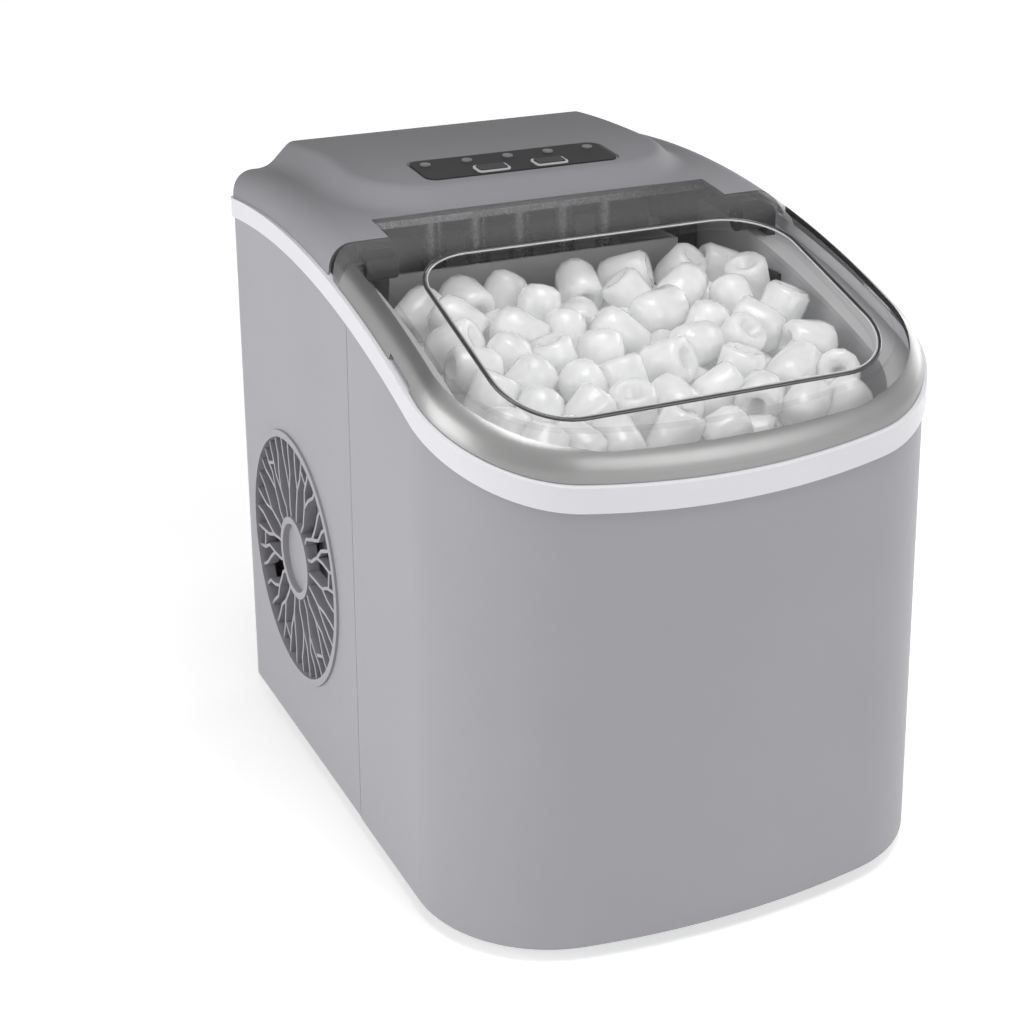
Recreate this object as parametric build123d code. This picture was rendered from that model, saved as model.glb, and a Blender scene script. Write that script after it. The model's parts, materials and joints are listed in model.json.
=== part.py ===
from build123d import *
import math
import os

# Countertop ice maker. Millimetres, front at -Y, up at +Z, origin on the table under the hinge line.

# Overall sizes
body_width = 242.0
overall_depth = 334.0
total_height = 306.4
foot_height = 6.0
wall = 2.5
seat_gap = 0.1
part_gap = 0.3
reach = 400.0

# Plan of the cabinet at the height of its front trim, and its outward flare below
body_flare = 4.35
flare_height = 206.0
bow_radius = 383.0
front_corner = 61.5
rear_corner = 16.8
recess_top = 48.0
recess_foot = 25.0
recess_depth = 13.0
seam_y = -19.0
seam_gap = 0.4
rear_lift = 2.2
edge_round = 1.8

# Roof: one long arc from front to rear that the trim, the lid and the cover follow
roof_radius = 548.0
roof_peak_y = 95.0
roof_drop = 32.2
band_height = 9.7
band_proud = 1.5
crown_rise = 21.5
crown_roll = 15.0
crown_sink = 7.0

# Raised rear part of the cover
plateau_shoulder = 39.0
plateau_corner = 32.0
plateau_lip = 43.0
plateau_peak_y = 112.0
plateau_fall = 0.4
lip_fall = 4.4
side_run = 1.04
front_run = 1.0
plateau_round = 7.0
plateau_blend = 13.0
mound_depth = 26.4

# Lid
lid_gap = 0.5
rim_width = 14.0
rim_end = 9.0
lid_corner = 14.0
hinge_y = 0.0
hinge_depth = 8.5
lid_tail = 8.0
tab_shoulder = 33.6
tab_tail = 31.0
sweep_gap = 0.6
pad_shoulder = 29.0
pad_front = 10.29
pad_tail = 19.0
pad_corner = 30.0
pad_rise = 1.8
notch_front_gap = 70.0
notch_length = 22.0
notch_height = 2.4
barrel_radius = 6.5
barrel_shoulder = 32.0
barrel_length = 15.5
web_width = 7.0
pin_radius = 2.5
pin_fit = 0.05
bracket_thick = 4.5
bracket_radius = 4.1

# Control panel
panel_y = 64.3
panel_width = 102.0
panel_depth = 29.5
panel_corner = 5.0
panel_thick = 1.5
panel_proud = 0.0
panel_ledge = 1.2
panel_groove = 1.6
groove_depth = 0.8
led_pitch = 22.0
led_row = 7.6
led_count = 5
led_radius = 2.6
led_sink = 3.0
led_proud = 0.6
button_pitch = 31.0
button_row = -8.2
button_width = 14.6
button_depth = 7.4
button_proud = 1.2
button_sink = 4.2
button_travel = 0.8
frame_line = 1.1
frame_height = 0.7
flange_line = 1.2
board_drop = 7.4
board_thick = 1.6
post_radius = 3.0
switch_size = 6.0

# Round side grille
grille_y = 71.0
grille_z = 111.0
grille_radius = 66.5
grille_bead = 3.6
bead_proud = 1.2
grille_depth = 6.0
hub_radius = 21.5
hub_ring = 3.5
rib_count = 18
rib_width = 1.7
fork_radius = 39.0
fork_stagger = 3.0
rib_wave = 3.2
link_radius = 53.0
link_step = 3

# Vents in the rear and right walls
vent_pitch = 9.0
vent_height = 3.6
rear_vent_rows = 8
rear_vent_length = 62.0
rear_vent_gap = 16.0
rear_vent_z = 120.0
side_vent_rows = 10
side_vent_length = 34.0
side_vent_gap = 10.0
side_vent_y = 84.0
side_vent_z = 62.0

# Deck, tub and basket
deck_rise = 4.0
deck_thick = 3.0
tub_wall = 2.0
tub_side_gap = 20.0
tub_front_gap = 13.65
tub_rear = 20.0
tub_floor = 60.0
tub_corner = 44.0
tub_rear_corner = 12.0
chamber_front = 6.0
chamber_rear = 114.0
chamber_drop = 85.0
foam_thick = 8.0
foam_low = 70.0
foam_gap = 11.2
foam_rear = 12.0
post_size = 6.0
sensor_gap = 21.5
basket_gap = 6.0
basket_wall = 2.0
basket_floor = 118.0
basket_drop = 8.8
basket_rim = 3.0
slot_width = 4.0
front_slots = 7
side_slots = 7

# Ice making
plate_rise = 7.0
plate_thick = 4.0
plate_depth = 36.0
plate_foot = 9.0
header_height = 6.0
header_side_gap = 55.0
tray_y = 70.0
tray_drop = 19.0
tray_radius = 31.0
tray_wall = 2.0
tray_side_gap = 43.0
finger_radius = 4.5
finger_length = 44.0
finger_pitch = 24.0
finger_row = 9.0
journal_radius = 3.0
ear_gap = 6.0
ear_thick = 3.5
motor_box = 34.0
motor_thick = 10.2
shovel_height = 24.0
shovel_thick = 3.0
shovel_side_gap = 41.0
tooth_count = 10
tooth_gap = 5.0

# Cooling machinery
base_thick = 3.0
base_lip = 6.0
foot_radius = 11.0
foot_side_gap = 29.0
foot_front_gap = 57.65
foot_rear = 122.0
comp_side_gap = 23.0
rear_room = 24.0
comp_y = 95.0
comp_radius = 48.0
comp_height = 122.0
comp_round = 20.0
comp_plate = 4.0
cap_proud = 6.0
cap_low = 40.0
cap_high = 80.0
grommet_height = 8.0
grommet_radius = 8.0
fin_count = 20
fin_pitch = 3.4
fin_thick = 0.9
fin_depth = 11.0
fin_low = 50.0
fin_gap = 24.2
coil_radius = 3.5
coil_rows = 6
cage_thick = 2.0
fan_radius = 43.0
fan_tip_gap = 2.0
fan_hub = 14.0
fan_blades_count = 7
blade_chord = 17.0
blade_thick = 1.8
blade_pitch = 38.0
fan_motor_radius = 19.0
fan_motor_length = 22.0
duct_length = 22.0
duct_wall = 2.0
shaft_radius = 2.0
pump_side_gap = 9.0
pump_y = 45.0
pump_size = 36.0
pump_height = 46.0
hose_radius = 5.0
line_radius = 2.5
line_bend = 12.0
line_x = 24.0
line_y = 140.0
drain_z = 30.0
drain_radius = 11.5
drain_shank = 6.0
drain_length = 18.0
spout_wall = 2.2
spout_inset = 44.0
cord_side_gap = 51.0
cord_radius = 3.2
gland_radius = 5.2
gland_flange = 7.6
screw_radius = 3.4
screw_head = 1.4

shell_bottom = foot_height
draft = math.degrees(math.atan(body_flare / flare_height))
back_reach = comp_y + comp_radius + rear_room
front_y = body_flare + back_reach - overall_depth
rear_flare = body_flare * (1 - (recess_top - shell_bottom) / flare_height)
rear_y = back_reach - rear_flare
roof_peak_z = total_height - roof_drop
roof_axis_z = roof_peak_z - roof_radius
plateau_axis_z = total_height - roof_radius
base_top = shell_bottom + base_thick
side_half = body_width / 2
plateau_half = side_half - plateau_shoulder
tab_half = side_half - tab_shoulder
pad_half = side_half - pad_shoulder
barrel_inner = side_half - barrel_shoulder
header_half = side_half - header_side_gap
tray_half = side_half - tray_side_gap
shovel_half = side_half - shovel_side_gap
comp_x = side_half - comp_radius - comp_side_gap
pump_x = comp_x - comp_radius - pump_size / 2 - pump_side_gap
cord_x = cord_side_gap - side_half
foot_x = side_half - foot_side_gap
foot_front = front_y + foot_front_gap
flat_y = front_y + bow_radius - math.sqrt((bow_radius - front_corner) ** 2 - (side_half - front_corner) ** 2)
drain_y = (flat_y + seam_y) / 2
notch_front = front_y + notch_front_gap
chamber_floor = roof_peak_z + plate_rise - chamber_drop
foam_high = chamber_floor - foam_gap
fin_high = chamber_floor - fin_gap


def outline(grow, rear_extra=0.0):
    half = body_width / 2 + grow
    corner = front_corner + grow
    tail = rear_corner + grow
    bow_y = front_y + bow_radius
    cx = body_width / 2 - front_corner
    cy = bow_y - math.sqrt((bow_radius - front_corner) ** 2 - cx ** 2)
    away = math.hypot(cx, cy - bow_y)
    ux = cx / away
    uy = (cy - bow_y) / away
    tx = cx + corner * ux
    ty = cy + corner * uy
    mid = math.atan2(uy, ux) / 2
    mx = cx + corner * math.cos(mid)
    my = cy + corner * math.sin(mid)
    back = rear_y + rear_extra + grow
    turn = tail * math.sqrt(0.5)
    rx = half - tail
    ry = back - tail
    edges = [
        Edge.make_three_point_arc((-tx, ty), (0, front_y - grow), (tx, ty)),
        Edge.make_three_point_arc((tx, ty), (mx, my), (half, cy)),
        Edge.make_line((half, cy), (half, ry)),
        Edge.make_three_point_arc((half, ry), (rx + turn, ry + turn), (rx, back)),
        Edge.make_line((rx, back), (-rx, back)),
        Edge.make_three_point_arc((-rx, back), (-rx - turn, ry + turn), (-half, ry)),
        Edge.make_line((-half, ry), (-half, cy)),
        Edge.make_three_point_arc((-half, cy), (-mx, my), (-tx, ty)),
    ]
    return Face(Wire(edges))


def tapered(grow, rear_extra=0.0):
    plan = Pos(0, 0, shell_bottom) * outline(grow + body_flare, rear_extra)
    return extrude(plan, amount=total_height + foot_height, taper=draft)


def side_x(z):
    return body_width / 2 + body_flare * (flare_height + shell_bottom - z) / flare_height


def under_roof(rise):
    return Pos(0, roof_peak_y, roof_axis_z) * Rot(0, 90, 0) * Cylinder(roof_radius + rise, reach)


def roof_z(y, rise):
    return roof_axis_z + math.sqrt((roof_radius + rise) ** 2 - (y - roof_peak_y) ** 2)


def between(x0, x1, y0, y1, z0, z1):
    return Pos((x0 + x1) / 2, (y0 + y1) / 2, (z0 + z1) / 2) * Box(x1 - x0, y1 - y0, z1 - z0)


def rod_x(x0, x1, y, z, r):
    return Pos((x0 + x1) / 2, y, z) * Rot(0, 90, 0) * Cylinder(r, abs(x1 - x0))


def rod_y(x, y0, y1, z, r):
    return Pos(x, (y0 + y1) / 2, z) * Rot(90, 0, 0) * Cylinder(r, abs(y1 - y0))


def rod_z(x, y, z0, z1, r):
    return Pos(x, y, (z0 + z1) / 2) * Cylinder(r, z1 - z0)


def rounded_prism(half, y0, y1, z0, z1, front_r, rear_r):
    plan = Rectangle(2 * half, y1 - y0)
    plan = fillet(plan.vertices().group_by(Axis.Y)[0], front_r)
    plan = fillet(plan.vertices().filter_by(lambda v: v.Y > (y1 - y0) / 2 - part_gap), rear_r)
    return extrude(Pos(0, (y0 + y1) / 2, z0) * plan, amount=z1 - z0)


def both_sides(shape):
    return shape + mirror(shape, about=Plane.YZ)


def tube(points, radius, bends):
    path = FilletPolyline(*points, radius=bends)
    start = Plane(path @ 0, z_dir=path % 0)
    return sweep(start * Circle(radius), path=path)


# Crown: the pillow that lid and cover share, rolled over along its sides and front
def crown(inset):
    rise = crown_rise - inset
    block = tapered(-inset, reach / 4) & under_roof(rise)
    block = block - under_roof(-crown_sink)
    ring = []
    for edge in block.edges():
        c = edge.center()
        off = math.hypot(c.Y - roof_peak_y, c.Z - roof_axis_z) - roof_radius - rise
        if abs(off) < 1.0 and c.Y < rear_y + reach / 8:
            ring.append(edge)
    return fillet(ring, crown_roll - inset)


def plateau_plan(z, inset):
    drop = total_height - plateau_fall - z
    half = plateau_half - inset + drop * side_run
    front = plateau_lip + inset - (total_height - lip_fall - z) * front_run
    back = rear_y + reach / 2
    corner = plateau_corner - inset + drop * front_run
    plan = RectangleRounded(2 * half, back - front, corner)
    return (Pos(0, (front + back) / 2, z) * plan).wires()[0]


# Mound: the raised part behind the lid, rounded along its upper edge
def mound(inset):
    low = plateau_plan(total_height - mound_depth, inset)
    high = plateau_plan(total_height + plateau_fall, inset)
    top = Pos(0, plateau_peak_y, plateau_axis_z) * Rot(0, 90, 0) * Cylinder(roof_radius - inset, reach)
    block = Solid.make_loft([low, high], True) & top
    ring = []
    for edge in block.edges():
        spots = [edge.position_at(0.1), edge.center(), edge.position_at(0.9)]
        off = [math.hypot(p.Y - plateau_peak_y, p.Z - plateau_axis_z) - roof_radius + inset for p in spots]
        if max(abs(d) for d in off) < part_gap and edge.center().Y < rear_y + reach / 8:
            ring.append(edge)
    return fillet(ring, plateau_round - inset)


# Cover block: crown and mound, cut off flat behind the rear wall and blended where they meet
def cover_block(inset, foot_blend):
    rise = crown_rise - inset
    end_y = rear_y + crown_roll
    block = (crown(inset) + mound(inset)) & between(-reach, reach, -reach, end_y, 0, reach)
    foot = []
    for edge in block.edges():
        c = edge.center()
        spots = [edge.position_at(0.1), c, edge.position_at(0.9)]
        off = [math.hypot(p.Y - roof_peak_y, p.Z - roof_axis_z) - roof_radius - rise for p in spots]
        inside = abs(c.X) < side_half - crown_roll - wall and lid_tail < c.Y < end_y - part_gap
        if inside and max(abs(d) for d in off) < part_gap:
            foot.append(edge)
    if foot_blend:
        block = fillet(foot, plateau_blend)
    return block & tapered(seat_gap - inset)


solids = {}

# Cabinet walls
skin = tapered(0)
skin = fillet(skin.edges().group_by(Axis.Z)[0], edge_round)
hollow = tapered(-wall)
shell = (skin - hollow) & under_roof(0)
front_half = between(-reach, reach, -reach, seam_y - seam_gap / 2, -reach, reach)
rear_half = between(-reach, reach, seam_y + seam_gap / 2, reach, shell_bottom + rear_lift, reach)
drain_x = side_x(drain_z)
drain_hole = rod_x(drain_x - 4 * wall, drain_x + wall, drain_y, drain_z, drain_radius + part_gap)
solids["front_shell"] = (shell & front_half) - drain_hole


def recess(shift):
    back = back_reach - shift
    points = [
        (back, recess_top + shift),
        (back - recess_depth, recess_foot + shift),
        (back - recess_depth, -reach),
        (back + reach, -reach),
        (back + reach, recess_top + shift),
    ]
    face = Plane.YZ * make_face(Polyline(*points, close=True))
    return extrude(face, amount=reach, both=True)


rear_shell = ((skin - recess(0)) - (hollow - recess(wall))) & under_roof(0) & rear_half
grille_x = side_x(grille_z)
lean = math.radians(draft)
grille_plane = Plane(
    origin=(-grille_x, grille_y, grille_z),
    x_dir=(0, -1, 0),
    z_dir=(-math.cos(lean), 0, math.sin(lean)),
)
grille_hole = grille_plane * Cylinder(grille_radius + seat_gap, 6 * wall)
vents = []
for row in range(rear_vent_rows):
    z = rear_vent_z + row * vent_pitch
    for side in (-1, 1):
        x = side * (rear_vent_length + rear_vent_gap) / 2
        slot = Pos(x, rear_y, z) * Rot(90, 0, 0) * SlotOverall(rear_vent_length, vent_height)
        vents.append(extrude(slot, amount=6 * wall, both=True))
for row in range(side_vent_rows):
    z = side_vent_z + row * vent_pitch
    for side in (-1, 1):
        y = side_vent_y + side * (side_vent_length + side_vent_gap) / 2
        slot = Pos(side_x(z), y, z) * Rot(90, 0, 90) * SlotOverall(side_vent_length, vent_height)
        vents.append(extrude(slot, amount=6 * wall, both=True))
gland_y = back_reach - recess_depth
gland_z = (shell_bottom + recess_foot) / 2
gland_hole = rod_y(cord_x, gland_y - 2 * wall, gland_y + wall, gland_z, gland_radius + seat_gap)
solids["rear_shell"] = rear_shell - grille_hole - gland_hole - vents

# Side grille: wavy ribs that leave the hub and fork like veins before they reach the rim


def strip(points, width):
    left = []
    right = []
    for i, (x, y) in enumerate(points):
        ax, ay = points[max(i - 1, 0)]
        bx, by = points[min(i + 1, len(points) - 1)]
        size = math.hypot(bx - ax, by - ay)
        nx = (ay - by) / size * width / 2
        ny = (bx - ax) / size * width / 2
        left.append((x + nx, y + ny))
        right.append((x - nx, y - ny))
    return make_face(Polyline(*left, *reversed(right), close=True))


def polar(r, degrees):
    return (r * math.cos(math.radians(degrees)), r * math.sin(math.radians(degrees)))


rim_inner = grille_radius - grille_bead
rib_step = 360 / rib_count
veins = []
for i in range(rib_count):
    base_angle = i * rib_step
    sway = rib_wave * math.sin(2.4 * i)
    fork = fork_radius + fork_stagger * math.cos(1.7 * i)
    fork_angle = base_angle + sway
    trunk = [
        polar(hub_radius - hub_ring / 2, base_angle),
        polar((2 * hub_radius + fork) / 3, base_angle - sway),
        polar((hub_radius + 2 * fork) / 3, base_angle + sway / 3),
        polar(fork, fork_angle),
    ]
    veins.append(strip(trunk, rib_width))
    for side in (-1, 1):
        tip = base_angle + side * rib_step / 4
        branch = [
            polar(fork - rib_width / 2, fork_angle),
            polar((2 * fork + rim_inner) / 3, fork_angle + side * rib_step / 5),
            polar((fork + 2 * rim_inner) / 3, tip + side * sway / 5),
            polar(rim_inner + grille_bead / 2, tip),
        ]
        veins.append(strip(branch, rib_width))
    if i % link_step == 0:
        link = [
            polar(link_radius - rib_width, base_angle + rib_step / 4),
            polar(link_radius + rib_width, base_angle + 3 * rib_step / 4),
        ]
        veins.append(strip(link, rib_width))
rim_ring = Circle(grille_radius) - Circle(rim_inner)
hub_face = Circle(hub_radius) - Circle(hub_radius - hub_ring)
vein_face = Sketch() + veins
vein_face = vein_face & (Circle(grille_radius - seat_gap) - Circle(hub_radius - hub_ring / 2))
grille = extrude(Pos(0, 0, -grille_depth) * vein_face, amount=grille_depth - part_gap)
grille = grille + extrude(Pos(0, 0, -grille_depth) * rim_ring, amount=grille_depth + bead_proud)
grille = grille + extrude(Pos(0, 0, -grille_depth) * hub_face, amount=grille_depth + bead_proud / 2)
hub_disc = Pos(0, 0, -grille_depth) * Circle(hub_radius - hub_ring / 2)
grille = grille + extrude(hub_disc, amount=grille_depth - wall)
solids["side_grille"] = grille_plane * grille

# Trim band round the top of the walls
band = (tapered(band_proud) - hollow) & under_roof(band_height)
solids["trim_band"] = band - under_roof(seat_gap)

# Lid hinge and the room that the lid sweeps
hinge_z = roof_z(hinge_y, crown_rise) - hinge_depth
tail_radius = math.hypot(lid_tail - hinge_y, roof_z(lid_tail, crown_rise) - hinge_z) + sweep_gap
tab_radius = math.hypot(tab_tail - hinge_y, roof_z(tab_tail, crown_rise) - hinge_z) + sweep_gap
lid_half = side_x(hinge_z)
bowl_x = lid_half - lid_corner + sweep_gap
capsule = rod_x(-bowl_x, bowl_x, hinge_y, hinge_z, tail_radius)
capsule = capsule + both_sides(Pos(bowl_x, hinge_y, hinge_z) * Sphere(tail_radius))
tab_room = rod_x(-tab_half - lid_gap, tab_half + lid_gap, hinge_y, hinge_z, tab_radius)

# Lid: a smoked window with a silver rim round three sides
crown_out = crown(0)
crown_in = crown(wall)
lid_plan = Rectangle(2 * lid_half, reach)
lid_plan = fillet(lid_plan.vertices().group_by(Axis.Y)[-1], lid_corner)
lid_plan = Pos(0, lid_tail - reach / 2) * lid_plan
lid_plan = lid_plan + Pos(0, tab_tail - reach / 4) * Rectangle(2 * tab_half, reach / 2)
lid_shell = (crown_out - crown_in) & extrude(lid_plan, amount=reach)
lid_shell = lid_shell - under_roof(band_height + lid_gap)
inner_zone = extrude(outline(-rim_width, reach / 4), amount=reach)
window_zone = extrude(outline(-rim_width - seat_gap, reach / 4), amount=reach)
notch_band = under_roof(band_height + lid_gap + notch_height)
notch = between(lid_half - rim_width / 2, reach, notch_front, notch_front + notch_length, 0, reach)
rim_stop = hinge_y - rim_end
corner_zone = between(-reach, reach, rim_stop, reach, 0, reach)
solids["lid_rim"] = lid_shell - inner_zone - corner_zone - (both_sides(notch) & notch_band)
pad_bow = bow_radius - math.sqrt(bow_radius ** 2 - pad_half ** 2)
pad_y0 = front_y + pad_front + pad_bow
pad_y1 = hinge_y - pad_tail
pad = rounded_prism(pad_half, pad_y0, pad_y1, 0, reach, pad_corner, pad_corner)
pad = (pad & under_roof(crown_rise + pad_rise)) - under_roof(crown_rise - wall / 2)
dish_corner = pad_corner - wall
dish = rounded_prism(pad_half - wall, pad_y0 + wall, pad_y1 - wall, 0, reach, dish_corner, dish_corner)
dish = dish & under_roof(crown_rise - wall + pad_rise)
corner_zone = between(-reach, reach, rim_stop + seat_gap, reach, 0, reach)
solids["lid_window"] = ((lid_shell & (window_zone + corner_zone)) + pad) - dish
barrel_outer = barrel_inner + barrel_length
barrel = rod_x(barrel_inner, barrel_outer, hinge_y, hinge_z, barrel_radius)
web_low = hinge_z
web = between(
    barrel_inner, barrel_outer, hinge_y - web_width, hinge_y + web_width / 2, web_low, web_low + crown_rise
)
barrel = (barrel + web) & crown(wall + seat_gap)
barrel = barrel - rod_x(barrel_inner, barrel_outer, hinge_y, hinge_z, pin_radius + pin_fit)
solids["hinge_barrels"] = both_sides(barrel)
bracket_in = barrel_outer + part_gap
bracket_out = bracket_in + bracket_thick
pin = rod_x(barrel_inner, bracket_out, hinge_y, hinge_z, pin_radius)
solids["hinge_pins"] = both_sides(pin)
bracket = rod_x(bracket_in, bracket_out, hinge_y, hinge_z, bracket_radius)
bracket = bracket + between(
    bracket_in, bracket_out, hinge_y - bracket_radius, hinge_y + bracket_radius, hinge_z - crown_rise, hinge_z
)
bracket = bracket - rod_x(bracket_in, bracket_out, hinge_y, hinge_z, pin_radius + pin_fit)
bracket = bracket - under_roof(deck_rise + seat_gap)
solids["hinge_brackets"] = both_sides(bracket)

# Rear cover with the control panel's pocket
cover = cover_block(0, True) - cover_block(wall, False)
cover = cover - under_roof(band_height + seat_gap)
cover = cover - between(-reach, reach, -reach, hinge_y + bracket_radius + sweep_gap, 0, reach)
cover = cover - capsule - tab_room
panel_tilt = math.asin((plateau_peak_y - panel_y) / roof_radius)
panel_z = plateau_axis_z + roof_radius * math.cos(panel_tilt)
panel_plane = Plane(
    origin=(0, panel_y, panel_z),
    x_dir=(1, 0, 0),
    z_dir=(0, -math.sin(panel_tilt), math.cos(panel_tilt)),
)


def on_panel(sketch, low, high):
    return panel_plane * extrude(Pos(0, 0, low) * sketch, amount=high - low)


def pair(make):
    return [Pos(side * button_pitch / 2, button_row) * make for side in (-1, 1)]


panel_low = panel_proud - panel_thick
panel_outline = RectangleRounded(panel_width, panel_depth, panel_corner)
pocket = RectangleRounded(panel_width + 2 * seat_gap, panel_depth + 2 * seat_gap, panel_corner + seat_gap)
opening = RectangleRounded(panel_width - 2 * panel_ledge, panel_depth - 2 * panel_ledge, panel_corner / 2)
groove = offset(panel_outline, panel_groove)
cover = cover - on_panel(groove, -groove_depth, wall) - on_panel(pocket, panel_low, wall)
cover = cover - on_panel(opening, -3 * wall, 0)
board_width = panel_width + 4 * post_radius
board_depth = panel_depth + 4 * post_radius
post_spots = GridLocations(board_width - 2 * post_radius, board_depth - 2 * post_radius, 2, 2)
posts = [spot * Circle(post_radius) for spot in post_spots]
cover = cover + on_panel(Sketch() + posts, -board_drop, -wall + seat_gap)
solids["top_cover"] = cover

led_spots = [((i - (led_count - 1) / 2) * led_pitch, led_row) for i in range(led_count)]
led_holes = [Pos(x, y) * Circle(led_radius + seat_gap) for x, y in led_spots]
cap = RectangleRounded(button_width, button_depth, panel_corner / 4)
cap_hole = RectangleRounded(button_width + 2 * part_gap, button_depth + 2 * part_gap, panel_corner / 4)
cap_frame = RectangleRounded(
    button_width + 2 * part_gap + 2 * frame_line,
    button_depth + 2 * part_gap + 2 * frame_line,
    panel_corner / 4 + frame_line,
)
flange = RectangleRounded(button_width + 2 * flange_line, button_depth + 2 * flange_line, panel_corner / 4)
overlay_face = panel_outline - led_holes - pair(cap_hole)
solids["control_overlay"] = on_panel(overlay_face, panel_low, panel_proud)
frame_faces = Sketch() + pair(cap_frame - cap_hole)
solids["button_frames"] = on_panel(frame_faces, panel_proud, panel_proud + frame_height)
led_faces = [Pos(x, y) * Circle(led_radius) for x, y in led_spots]
solids["led_lenses"] = on_panel(Sketch() + led_faces, -led_sink, led_proud)
flange_high = panel_low - part_gap
for name, face, foot in zip(("power_button", "select_button"), pair(cap), pair(flange)):
    solids[name] = on_panel(face, -button_sink, button_proud) + on_panel(foot, -button_sink, flange_high)
board = on_panel(Rectangle(board_width, board_depth), -board_drop - board_thick, -board_drop)
switch_high = -button_sink - button_travel - seat_gap
switches = on_panel(Sketch() + pair(Rectangle(switch_size, switch_size)), -board_drop, switch_high)
solids["control_board"] = board + switches

# Deck under the lid, and the tub that hangs from it
tub_half = body_width / 2 - tub_side_gap
tub_front = front_y + tub_front_gap
deck = (tapered(-wall - seat_gap) & under_roof(deck_rise)) - under_roof(deck_rise - deck_thick)
mouth = rounded_prism(
    tub_half - tub_wall,
    tub_front + tub_wall,
    chamber_rear - tub_wall,
    0,
    reach,
    tub_corner - tub_wall,
    tub_rear_corner,
)
line_holes = [rod_z(side * line_x, line_y, 0, reach, line_radius + part_gap) for side in (-1, 1)]
solids["deck_frame"] = deck - mouth - line_holes
tub_well = rounded_prism(tub_half, tub_front, tub_rear, tub_floor, reach, tub_corner, tub_rear_corner)
tub_room = rounded_prism(
    tub_half - tub_wall,
    tub_front + tub_wall,
    tub_rear - tub_wall,
    tub_floor + tub_wall,
    reach,
    tub_corner - tub_wall,
    tub_rear_corner - tub_wall,
)
chamber = rounded_prism(
    tub_half, chamber_front, chamber_rear, chamber_floor, reach, tub_wall, tub_rear_corner + tub_wall
)
chamber_room = rounded_prism(
    tub_half - tub_wall,
    chamber_front - tub_rear_corner,
    chamber_rear - tub_wall,
    chamber_floor + tub_wall,
    reach,
    tub_wall,
    tub_rear_corner,
)
liner = ((tub_well + chamber) - tub_room - chamber_room) & under_roof(deck_rise - deck_thick - seat_gap)
basket_front = tub_front + tub_wall + basket_gap
basket_rear = tub_rear - tub_wall - basket_gap
basket_half = tub_half - tub_wall - basket_gap
for x in (-1, 1):
    for y in (basket_front + tub_corner, basket_rear - 4 * post_size):
        spot = x * (basket_half - 4 * post_size)
        liner = liner + rod_z(spot, y, tub_floor + tub_wall / 2, basket_floor - part_gap, post_size)
drain_inner = drain_x - spout_inset
drain_tube = drain_shank + part_gap
liner = liner - rod_z(drain_inner, drain_y, 0, tub_floor + 2 * tub_wall, drain_tube)
solids["tub_liner"] = liner
foam_plan = rounded_prism(
    tub_half + foam_thick,
    tub_front - foam_thick,
    tub_rear,
    foam_low,
    foam_high,
    tub_corner + foam_thick,
    tub_rear_corner,
)
tub_skin = rounded_prism(
    tub_half + seat_gap, tub_front - seat_gap, tub_rear, 0, reach, tub_corner + seat_gap, tub_rear_corner
)
foam = (foam_plan - tub_skin) & tapered(-wall - part_gap)
foam = foam - between(-reach, reach, foam_rear, reach, 0, reach)
solids["tub_foam"] = foam

# Ice basket
basket_top = roof_z(basket_front, 0) - basket_drop
basket = rounded_prism(
    basket_half, basket_front, basket_rear, basket_floor, basket_top, tub_corner - basket_gap, tub_rear_corner
)
basket_rim_block = rounded_prism(
    basket_half + basket_rim,
    basket_front - basket_rim,
    basket_rear + basket_rim,
    basket_top - basket_wall,
    basket_top,
    tub_corner - basket_gap + basket_rim,
    tub_rear_corner + basket_rim,
)
basket_room = rounded_prism(
    basket_half - basket_wall,
    basket_front + basket_wall,
    basket_rear - basket_wall,
    basket_floor + basket_wall,
    reach,
    tub_corner - basket_gap - basket_wall,
    tub_rear_corner - basket_wall,
)
basket = basket + basket_rim_block - basket_room
slots = []
slot_low = basket_floor + 5 * basket_wall
slot_high = basket_top - 8 * basket_wall
slot_mid = (slot_low + slot_high) / 2
basket_mid = (basket_front + basket_rear) / 2
front_run_half = basket_half - tub_corner
front_pitch = 2 * front_run_half / front_slots
for i in range(front_slots):
    x = (i - (front_slots - 1) / 2) * front_pitch
    slots.append(Pos(x, basket_mid, slot_mid) * Box(slot_width, reach, slot_high - slot_low))
side_y0 = basket_front + tub_corner
side_pitch = (basket_rear - tub_rear_corner - side_y0) / side_slots
for i in range(side_slots):
    y = side_y0 + (i + 0.5) * side_pitch
    slots.append(Pos(0, y, slot_mid) * Box(reach, slot_width, slot_high - slot_low))
    for x in (-1, 0, 1):
        spot = x * (basket_half - 8 * basket_wall) * 2 / 3
        slots.append(Pos(spot, y, basket_floor) * Box(basket_half / 3, slot_width, 4 * basket_wall))
solids["ice_basket"] = basket - slots

# Evaporator plate with its freezing fingers
plate_z = roof_peak_z + plate_rise
plate_half = tub_half + plate_foot
plate_y0 = tray_y - plate_depth / 2
plate_y1 = tray_y + plate_depth / 2
plate = between(-plate_half, plate_half, plate_y0, plate_y1, plate_z, plate_z + plate_thick)
plate_leg = between(tub_half, plate_half, plate_y0, plate_y1, plate_z - plate_rise, plate_z)
plate = plate + (both_sides(plate_leg) - under_roof(deck_rise + seat_gap))
solids["evaporator_plate"] = plate
header_z = plate_z + plate_thick
header_top = header_z + header_height
header = between(-header_half, header_half, plate_y0 + wall, plate_y1 - wall, header_z, header_top)
solids["evaporator_header"] = fillet(header.edges().filter_by(Axis.Z), wall)
finger = rod_z(0, 0, plate_z - finger_length + finger_radius, plate_z, finger_radius)
finger = finger + Pos(0, 0, plate_z - finger_length + finger_radius) * Sphere(finger_radius)
fingers = []
for i in range(5):
    fingers.append(Pos((i - 2) * finger_pitch, tray_y - finger_row, 0) * finger)
for i in range(4):
    fingers.append(Pos((i - 1.5) * finger_pitch, tray_y + finger_row, 0) * finger)
solids["freezing_fingers"] = Compound(fingers)

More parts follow.
